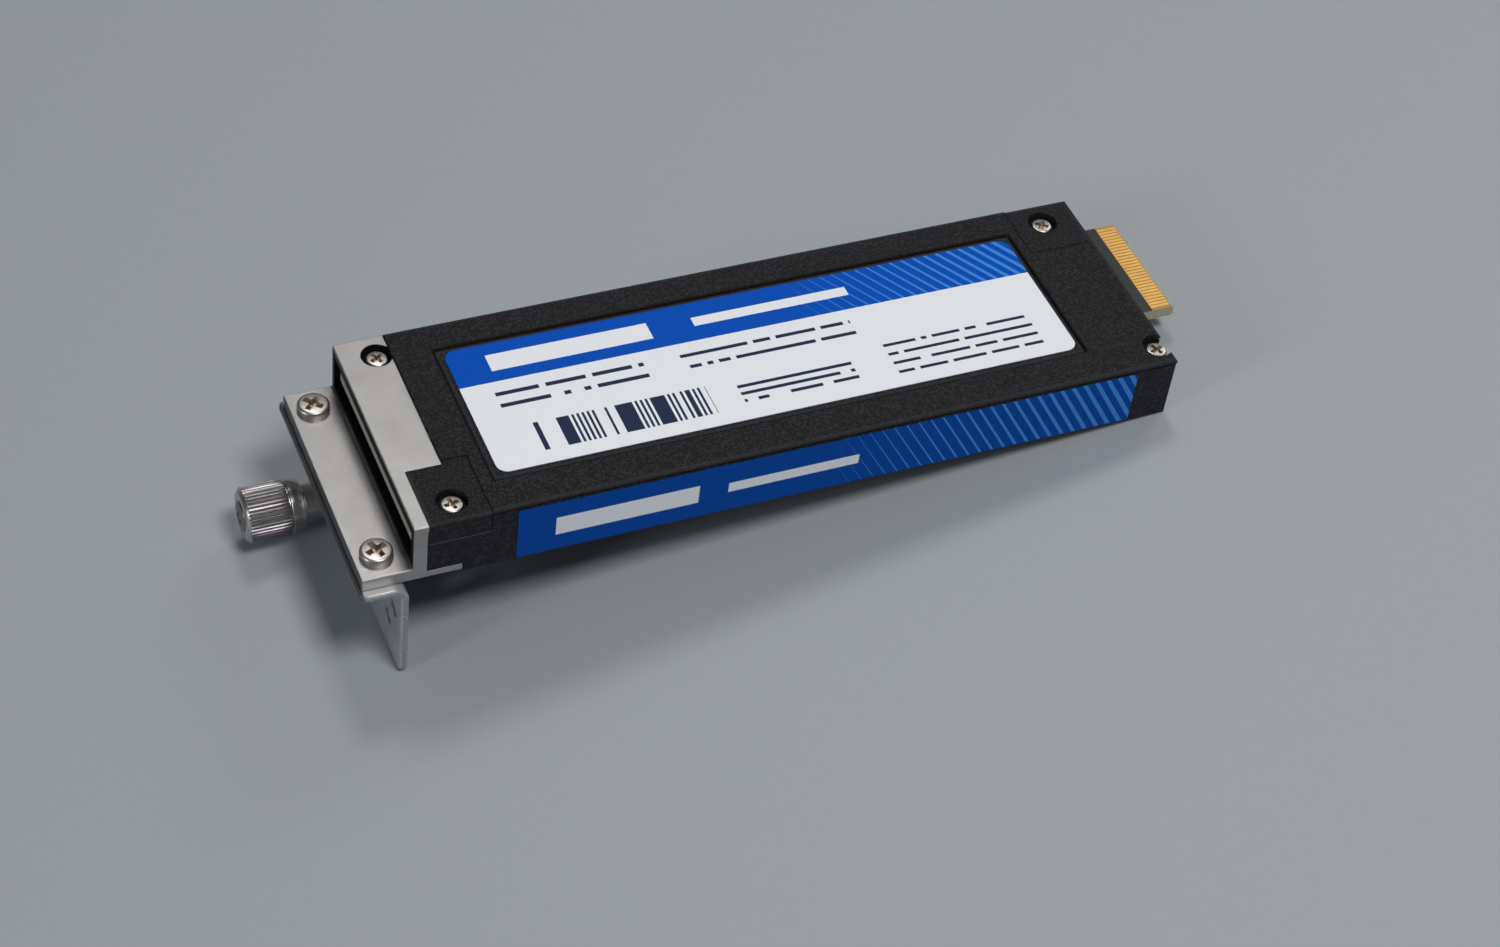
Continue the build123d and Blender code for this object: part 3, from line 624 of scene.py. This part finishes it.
def dress(material, *nodes):
    """Gives CAD nodes their finish."""
    for node in nodes:
        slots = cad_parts[node].data.materials
        slots.clear()
        slots.append(material)


def add_object(name, data):
    """A new object in the scene."""
    made = bpy.data.objects.new(name, data)
    bpy.context.scene.collection.objects.link(made)
    return made


def add_piece(name, mesh, sharp_angle, body, node):
    """Shades a mesh, edges above an angle kept sharp, and adds it in place of a CAD node."""
    mesh.shade_smooth()
    mesh.set_sharp_from_angle(angle=radians(sharp_angle))
    piece = add_object(name, mesh)
    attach(piece, body)
    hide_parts(node)
    return piece


def ring_surface(rings, closed=False):
    """A bmesh from rings of equal count, capped at the ends unless the rings close up."""
    bm = bmesh.new()
    loops = [[bm.verts.new(point) for point in ring] for ring in rings]
    count = len(loops[0])
    pairs = list(zip(loops, loops[1:] + loops[:1] if closed else loops[1:]))
    for low, high in pairs:
        for i in range(count):
            j = (i + 1) % count
            bm.faces.new((low[i], low[j], high[j], high[i]))
    if not closed:
        bm.faces.new(list(reversed(loops[0])))
        bm.faces.new(loops[-1])
    bmesh.ops.recalc_face_normals(bm, faces=bm.faces)
    return bm


def mesh_from(bm, name, *materials):
    """Turns a bmesh into a mesh with its materials."""
    mesh = bpy.data.meshes.new(name)
    bm.to_mesh(mesh)
    bm.free()
    for material in materials:
        mesh.materials.append(material)
    return mesh


def ring(radius, level, segments):
    """A level circle of points about the Z axis."""
    angles = [2 * pi * i / segments for i in range(segments)]
    return [(radius * cos(angle), radius * sin(angle), level) for angle in angles]


def thread_rings(core, crest, start, end, pitch, segments):
    """Rings of a screw thread between two levels, with its ridge running round as a helix."""
    per_turn = 8
    steps = max(per_turn, int(abs(end - start) / pitch * per_turn))
    rings = []
    for step in range(steps + 1):
        level = start + (end - start) * step / steps
        fade = min(1.0, 4.0 * min(step, steps - step) / per_turn)
        points = []
        for i in range(segments):
            turn = (level / pitch - i / segments) % 1.0
            ridge = max(0.0, 1.0 - abs(2.0 * turn - 1.0) * 1.25)
            radius = core + (crest - core) * ridge * fade
            angle = 2 * pi * i / segments
            points.append((radius * cos(angle), radius * sin(angle), level))
        rings.append(points)
    return rings


def cut(mesh, cutter, recess_slot):
    """Mesh minus a cutter, whose faces take the material slot given."""
    for polygon in cutter.polygons:
        polygon.material_index = recess_slot
    holder = add_object("cut holder", mesh)
    tool = add_object("cut tool", cutter)
    step = holder.modifiers.new("recess", "BOOLEAN")
    step.object = tool
    step.operation = "DIFFERENCE"
    step.solver = "EXACT"
    result = bpy.data.meshes.new_from_object(holder.evaluated_get(bpy.context.evaluated_depsgraph_get()))
    for item in (holder, tool):
        bpy.data.objects.remove(item)
    return result


def cross_cutter(arm, slot, top, depth, materials):
    """A tapered cross that cuts a driver recess about the Z axis."""
    half = slot / 2
    corners = [(arm, -half), (arm, half), (half, half), (half, arm), (-half, arm), (-half, half),
               (-arm, half), (-arm, -half), (-half, -half), (-half, -arm), (half, -arm), (half, -half)]
    taper = ((top + depth * 0.4, 1.06), (top, 1.0), (top - depth, 0.52))
    rings = [[(x * share, y * share, level) for x, y in corners] for level, share in taper]
    return mesh_from(ring_surface(rings), "cross cutter", *materials)


def pan_head(radius, seat, height, segments):
    """Rings of a pan head from its seat to its crowned top."""
    rim = height * 0.42
    shoulder = seat + height - rim
    rings = [ring(radius, seat, segments), ring(radius, shoulder, segments)]
    for step in range(1, 7):
        angle = pi / 2 * step / 6
        inset = rim * 0.8 * (1 - cos(angle))
        rings.append(ring(radius - inset, shoulder + rim * sin(angle) * 0.86, segments))
    for share in (0.6, 0.35, 0.12):
        rings.append(ring(radius * share, seat + height - rim * 0.14 * share * share, segments))
    return rings


def screw_mesh(name, head_radius, head_height, thread_radius, length, screws, materials):
    """A cross-recess pan screw standing on the origin, seat at level 0."""
    segments = screws.segments
    pitch, runout = screws.thread_pitch, 0.2 * MM
    core = thread_radius - 0.55 * pitch
    rings = [ring(core * 0.55, -length, segments)]
    rings += thread_rings(core, thread_radius, runout - length, -runout, pitch, segments)
    rings += pan_head(head_radius, 0.0, head_height, segments)
    body = mesh_from(ring_surface(rings), name, *materials)
    arm = 2 * head_radius * screws.recess_arm
    slot = 2 * head_radius * screws.recess_slot
    cutter = cross_cutter(arm, slot, head_height, head_height * 0.62, materials)
    return cut(body, cutter, 1)


def place_copies(source, places, turns):
    """One mesh with a turned copy of the source at each place."""
    bm = bmesh.new()
    for place, turn in zip(places, turns):
        start = len(bm.verts)
        bm.from_mesh(source)
        bm.verts.ensure_lookup_table()
        matrix = Matrix.Translation(place) @ Matrix.Rotation(turn, 4, "Z")
        bmesh.ops.transform(bm, matrix=matrix, verts=bm.verts[start:])
    return bm


def islands(mesh):
    """Boxes of a mesh's separate solids, as (low, high) corners."""
    bm = bmesh.new()
    bm.from_mesh(mesh)
    bmesh.ops.remove_doubles(bm, verts=bm.verts, dist=1e-6)
    left = set(bm.verts)
    boxes = []
    while left:
        stack = [left.pop()]
        group = []
        while stack:
            vert = stack.pop()
            group.append(vert.co.copy())
            for edge in vert.link_edges:
                other = edge.other_vert(vert)
                if other in left:
                    left.remove(other)
                    stack.append(other)
        axes = list(zip(*group))
        boxes.append((Vector([min(axis) for axis in axes]), Vector([max(axis) for axis in axes])))
    bm.free()
    return boxes


def knurl_radius(knob, crest, share):
    """Radius of the knurl at a share of the turn: flat-topped ridges and V grooves."""
    phase = (share * knob.ridges) % 1.0
    groove = max(0.0, 1.0 - abs(2.0 * phase - 1.0) * 1.5)
    return crest - knob.knurl_depth * groove


def knob_profile(knob, crest, length, bore):
    """Half section of the knob as (distance from the outer face, radius), seat to seat."""
    smooth = crest - knob.knurl_depth
    seat, grip, chamfer, mouth = knob.head_sink, knob.grip_length, knob.chamfer, knob.mouth_radius
    head = knob.head_radius + 0.02 * MM
    points = [(seat, knob.neck_radius), (seat, head), (0.05 * MM, head), (0.0, head + 0.05 * MM)]
    points += [(0.0, crest - chamfer - 0.08 * MM), (0.03 * MM, crest - chamfer)]
    points += [(chamfer * share, crest - chamfer * (1 - share)) for share in (0.4, 0.62, 0.8, 1.0)]
    points += [(chamfer + (grip - chamfer) * share, crest) for share in (0.25, 0.5, 0.75, 0.96)]
    points += [(grip, crest - HAIR), (grip + HAIR, smooth - HAIR), (grip + 0.22 * MM, smooth - HAIR)]
    bead = crest - 0.08 * MM
    points += [(grip + 0.27 * MM, bead - 0.08 * MM), (grip + 0.36 * MM, bead)]
    start, span, drop = grip + 0.6 * MM, length - grip - 0.8 * MM, bead - mouth
    for step in range(9):
        angle = pi / 2 * step / 8
        points.append((start + span * sin(angle), bead - drop * (1 - cos(angle))))
    points += [(length - 0.08 * MM, mouth - 0.06 * MM), (length, mouth - 0.2 * MM)]
    points += [(length, bore + 0.12 * MM), (length - 0.12 * MM, bore), (knob.end_wall, bore)]
    return points + [(knob.end_wall, knob.neck_radius)]


def knob_surface(knob, low, high):
    """The knob as one closed surface about the X axis."""
    crest = (high.y - low.y) / 2
    ferrule_low, ferrule_high = node_box("screw_ferrule")
    bore = (ferrule_high.y - ferrule_low.y) / 2 + knob.bore_gap
    count = knob.ridges * 6
    rings = []
    for along, radius in knob_profile(knob, crest, high.x - low.x, bore):
        points = []
        knurled = along <= knob.grip_length
        for i in range(count):
            reach = min(radius, knurl_radius(knob, crest, i / count)) if knurled else radius
            angle = 2 * pi * i / count
            points.append((low.x + along, reach * cos(angle), reach * sin(angle)))
        rings.append(points)
    return ring_surface(rings, closed=True)


def captive_mesh(knob, screws, outer, materials):
    """Captive screw with a domed, recessed head and a threaded end, about the X axis."""
    segments = screws.segments
    screw_low, screw_high = node_box("captive_screw")
    dome, tip = outer - screw_low.x, outer - screw_high.x
    seat, floor = -knob.head_sink, -knob.end_wall
    start = tip + knob.thread_length
    core, pitch = knob.thread_radius - 0.3 * MM, 0.5 * MM
    rings = [ring(core * 0.8, tip, segments)]
    rings += thread_rings(core, knob.thread_radius, tip + HAIR, start, pitch, segments)
    cylinders = ((knob.shank_radius, start + HAIR, floor), (knob.neck_radius, floor, seat),
                 (knob.head_radius, seat, 0.0))
    for radius, low, high in cylinders:
        rings += [ring(radius, low, segments), ring(radius, high, segments)]
    rings += [ring(knob.head_radius * cos(pi / 2 * step / 8), dome * sin(pi / 2 * step / 8), segments)
              for step in range(1, 8)]
    body = mesh_from(ring_surface(rings), "captive_stud", *materials)
    arm, slot = 2 * knob.head_radius * 0.3, 2 * knob.head_radius * 0.18
    stud = cut(body, cross_cutter(arm, slot, dome, dome + knob.head_sink * 0.6, materials), 1)
    stud.transform(Matrix(((0, 0, -1, outer), (0, 1, 0, 0), (1, 0, 0, 0), (0, 0, 0, 1))))
    return stud


def coil_surface(knob, start, end):
    """Coil spring between two places along X, with closed end turns."""
    half_wire, end_gap = knob.spring_wire / 2, 0.03 * MM
    turns = knob.spring_turns
    sides, steps = 10, 36 * turns
    free = end - start - 2 * half_wire - 2 * end_gap
    rings = []
    for step in range(steps + 1):
        share = step / steps
        turn = 2 * pi * turns * share
        eased = min(1.0, max(0.0, (share * turns - 0.6) / (turns - 1.2)))
        along = start + half_wire + end_gap + free * eased
        points = []
        for side in range(sides):
            lean = 2 * pi * side / sides
            radius = knob.spring_radius + half_wire * cos(lean)
            points.append((along + half_wire * sin(lean), radius * cos(turn), radius * sin(turn)))
        rings.append(points)
    return ring_surface(rings)


def make_screws(node, head_height, thread_radius, turns, context):
    """Replaces a node of screws with detailed ones on the same axes."""
    finishes, screws = context.scene.ruler_finishes, context.scene.ruler_screws
    plated = nickel_finish(node + " nickel", finishes.nickel, 0.34)
    stained = stain_finish(finishes)
    boxes = sorted(islands(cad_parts[node].data), key=lambda pair: (pair[0].x, pair[0].y))
    low, high = boxes[0]
    head_radius = (high.x - low.x) / 2
    source = screw_mesh(node, head_radius, head_height, thread_radius, high.z - head_height - low.z,
                        screws, (plated, stained))
    places = [Vector(((a.x + b.x) / 2, (a.y + b.y) / 2, b.z - head_height)) for a, b in boxes]
    mesh = mesh_from(place_copies(source, places, turns), node + "_set", plated, stained)
    add_piece(node + "_set", mesh, SCREW_SHARP, "module", node)


class RULER_OT_housing(bpy.types.Operator):
    """Black textured cover and tray"""

    bl_idname = "ruler.housing"
    bl_label = "Housing"

    def execute(self, context):
        black = housing_finish(context.scene.ruler_finishes, context.scene.ruler_housing)
        dress(black, "top_cover", "bottom_tray")
        return {"FINISHED"}


class RULER_OT_bracket(bpy.types.Operator):
    """Satin end bracket"""

    bl_idname = "ruler.bracket"
    bl_label = "End bracket"

    def execute(self, context):
        boxes = islands(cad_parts["cover_screws"].data)
        low, high = max(boxes, key=lambda pair: pair[0].y - pair[0].x)
        bore = (low + high) / 2
        finish = bracket_finish(context.scene.ruler_finishes, context.scene.ruler_bracket, bore)
        dress(finish, "front_bracket")
        return {"FINISHED"}


class RULER_OT_face_plate(bpy.types.Operator):
    """Plated sheet below the bracket"""

    bl_idname = "ruler.face_plate"
    bl_label = "Face plate"

    def execute(self, context):
        dress(plate_finish(context.scene.ruler_finishes), "face_plate")
        return {"FINISHED"}


class RULER_OT_screws(bpy.types.Operator):
    """Cross-recess screws of the cover and the flange"""

    bl_idname = "ruler.screws"
    bl_label = "Screws"

    def execute(self, context):
        make_screws("cover_screws", 0.9 * MM, 1.0 * MM, (0.5, 0.2, 0.9, 0.4), context)
        make_screws("flange_screws", 1.2 * MM, 1.25 * MM, (0.35, 0.75), context)
        return {"FINISHED"}


class RULER_OT_board(bpy.types.Operator):
    """Circuit board, contacts and the electronics inside"""

    bl_idname = "ruler.board"
    bl_label = "Circuit board"

    def execute(self, context):
        finishes = context.scene.ruler_finishes
        dress(board_finish(finishes), "circuit_board")
        dress(gold_finish(finishes), "contact_pads")
        chip = moulded_finish("chip body", (0.022, 0.022, 0.024), 0.55)
        dress(chip, "controller_chip", "working_memory", "upper_flash", "lower_flash")
        dress(moulded_finish("capacitor case", (0.46, 0.24, 0.03), 0.45), "hold_up_capacitors")
        dress(moulded_finish("ceramic body", (0.3, 0.19, 0.1), 0.5), "small_capacitors")
        dress(moulded_finish("pressed ferrite", (0.06, 0.06, 0.065), 0.7), "power_inductors")
        pad = moulded_finish("thermal pad", (0.3, 0.35, 0.42), 0.85)
        dress(pad, "upper_thermal_pad", "lower_thermal_pad")
        return {"FINISHED"}


class RULER_OT_labels(bpy.types.Operator):
    """Printed films on the cover and the side"""

    bl_idname = "ruler.labels"
    bl_label = "Labels"

    def execute(self, context):
        finishes = context.scene.ruler_finishes
        dress(top_label_finish(finishes), "top_label")
        dress(side_label_finish(finishes), "side_label")
        return {"FINISHED"}


class RULER_OT_thumbscrew(bpy.types.Operator):
    """Knurled knob, ferrule, captive screw and return spring"""

    bl_idname = "ruler.thumbscrew"
    bl_label = "Thumbscrew"

    def execute(self, context):
        finishes, knob = context.scene.ruler_finishes, context.scene.ruler_knob
        plated = nickel_finish("thumb nickel", finishes.thumb, 0.37)
        dress(nickel_finish("ferrule nickel", finishes.nickel, 0.34), "screw_ferrule")
        low, high = node_box("thumb_knob")
        axis = Vector((0.0, (low.y + high.y) / 2, (low.z + high.z) / 2))
        polished = nickel_finish("thumb polish", finishes.nickel, 0.24)
        grip = mesh_from(knob_surface(knob, low, high), "knurled_knob", plated, polished)
        for polygon in grip.polygons:
            along = polygon.center.x - low.x
            polygon.material_index = int(along < knob.chamfer or along > knob.grip_length)
        stained = stain_finish(finishes)
        screw = captive_mesh(knob, context.scene.ruler_screws, low.x, (plated, stained))
        wire_finish = nickel_finish("spring wire", finishes.nickel, 0.3)
        inner, outer = low.x + knob.end_wall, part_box("screw_ferrule")[0][0]
        coil = mesh_from(coil_surface(knob, inner, outer), "return_coil", wire_finish)
        for mesh in (grip, screw, coil):
            mesh.transform(Matrix.Translation(axis))
        add_piece("knurled_knob", grip, 30.0, "thumbscrew", "thumb_knob")
        add_piece("captive_stud", screw, SCREW_SHARP, "thumbscrew", "captive_screw")
        spring = add_piece("return_coil", coil, 60.0, "plunger", "return_spring")
        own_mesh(spring)
        return {"FINISHED"}


CAMERA_PLACE = Vector((-0.080838, -0.251659, 0.283818))
CAMERA_RIGHT = Vector((0.92007, -0.37873, 0.10020))
CAMERA_UP = Vector((0.2053, 0.6840, 0.7001))
CAMERA_AHEAD = Vector((0.3337, 0.6235, -0.7071))


def floor_mesh(material, reach):
    """A wide floor through the two edges that the part rests on."""
    bm = bmesh.new()
    plate_low, plate_high = node_box("face_plate")
    tray_low, tray_high = node_box("bottom_tray")
    slope = (tray_low.z - plate_low.z) / (tray_high.x - plate_high.x)
    normal = Vector((-slope, 0.0, 1.0)).normalized()
    along = Vector((0.0, 1.0, 0.0)).cross(normal)
    centre = Vector((plate_high.x, 0.0, plate_low.z)) + along * 0.05 - normal * 0.02 * MM
    corners = [bm.verts.new(centre + along * x + Vector((0.0, y, 0.0)))
               for x, y in ((-reach, -reach), (reach, -reach), (reach, reach), (-reach, reach))]
    bm.faces.new(corners)
    bmesh.ops.recalc_face_normals(bm, faces=bm.faces)
    return mesh_from(bm, "floor", material)


def floor_finish(stage):
    """Pale floor with a faint grain."""
    material, tree, shader = start_material("pale floor")
    height = grain(tree, 900.0, 0.6)["Height"]
    colour = blend_colour(tree, height, opaque(stage.floor), opaque(stage.floor, 1.05))
    wire(tree, shader, Base_Color=colour, Roughness=0.55)
    return material


def softbox(name, place, target, size, power, tint):
    """A rectangular area light that looks at a target."""
    lamp = bpy.data.lights.new(name, "AREA")
    lamp.shape = "RECTANGLE"
    lamp.size, lamp.size_y = size
    lamp.energy, lamp.color = power, tint
    holder = add_object(name, lamp)
    holder.location = place
    holder.rotation_euler = (target - place).to_track_quat("-Z", "Y").to_euler()


class RULER_OT_stage(bpy.types.Operator):
    """Pale floor, soft studio light and the camera"""

    bl_idname = "ruler.stage"
    bl_label = "Stage"

    def execute(self, context):
        stage = context.scene.ruler_stage
        floor = add_object("floor", floor_mesh(floor_finish(stage), 2.5))
        target = Vector((0.05, 0.0, 0.01))
        warm, cool = (1.0, 0.985, 0.96), (0.86, 0.93, 1.0)
        lights = (("key", (0.11, -0.5, 1.08), (0.3, 0.3), stage.key_power, warm),
                  ("back", (0.11, 0.55, 1.06), (0.25, 0.25), stage.back_power, warm),
                  ("rear", (0.9, 0.6, 0.95), (0.4, 0.4), stage.rear_power, warm),
                  ("window", (-1.13, -0.26, 0.3), (0.2, 0.3), stage.window_power, cool))
        for name, offset, size, power, tint in lights:
            softbox(name, target + Vector(offset), target, size, power, tint)
        world = context.scene.world = bpy.data.worlds.new("studio room")
        world.use_nodes = True
        room = world.node_tree.nodes["Background"]
        feed(world.node_tree, room, {"Color": (0.82, 0.88, 0.95, 1.0), "Strength": stage.ambient})
        camera = bpy.data.cameras.new("photo view")
        camera.lens = stage.lens
        camera.sensor_width = 36.0
        camera.sensor_fit = "HORIZONTAL"
        camera.clip_start, camera.clip_end = 0.01, 20.0
        viewer = add_object("photo view", camera)
        turn = Matrix((CAMERA_RIGHT, CAMERA_UP, -CAMERA_AHEAD)).transposed().to_4x4()
        viewer.matrix_world = Matrix.Translation(CAMERA_PLACE) @ turn
        context.scene.camera = viewer
        context.scene.view_settings.view_transform = "Standard"
        return {"FINISHED"}


OPERATORS = (RULER_OT_housing, RULER_OT_bracket, RULER_OT_face_plate, RULER_OT_screws, RULER_OT_board,
             RULER_OT_labels, RULER_OT_thumbscrew, RULER_OT_stage)
SETTINGS = (("ruler_finishes", RulerFinishes), ("ruler_housing", RulerHousing),
            ("ruler_screws", RulerScrews), ("ruler_bracket", RulerBracket),
            ("ruler_knob", RulerKnob), ("ruler_stage", RulerStage))


class RULER_PT_panel(bpy.types.Panel):
    """Steps and settings of the ruler drive"""

    bl_idname = "RULER_PT_panel"
    bl_label = "Ruler drive"
    bl_space_type = "VIEW_3D"
    bl_region_type = "UI"
    bl_category = "Ruler drive"

    def draw(self, context):
        for operator in OPERATORS:
            self.layout.operator(operator.bl_idname)
        for name, group in SETTINGS:
            settings = getattr(context.scene, name)
            for key in group.__annotations__:
                self.layout.prop(settings, key)


CLASSES = tuple(group for name, group in SETTINGS) + OPERATORS + (RULER_PT_panel,)


def register():
    """Registers the classes and hangs the settings on the scene."""
    for item in CLASSES:
        bpy.utils.register_class(item)
    for name, group in SETTINGS:
        setattr(bpy.types.Scene, name, PointerProperty(type=group))


def unregister():
    """Takes the settings and classes away again."""
    for name, group in SETTINGS:
        delattr(bpy.types.Scene, name)
    for item in reversed(CLASSES):
        bpy.utils.unregister_class(item)


def main():
    """Builds every piece and the stage."""
    register()
    for operator in OPERATORS:
        area, step = operator.bl_idname.split(".")
        getattr(getattr(bpy.ops, area), step)()


if __name__ == "__main__":
    main()
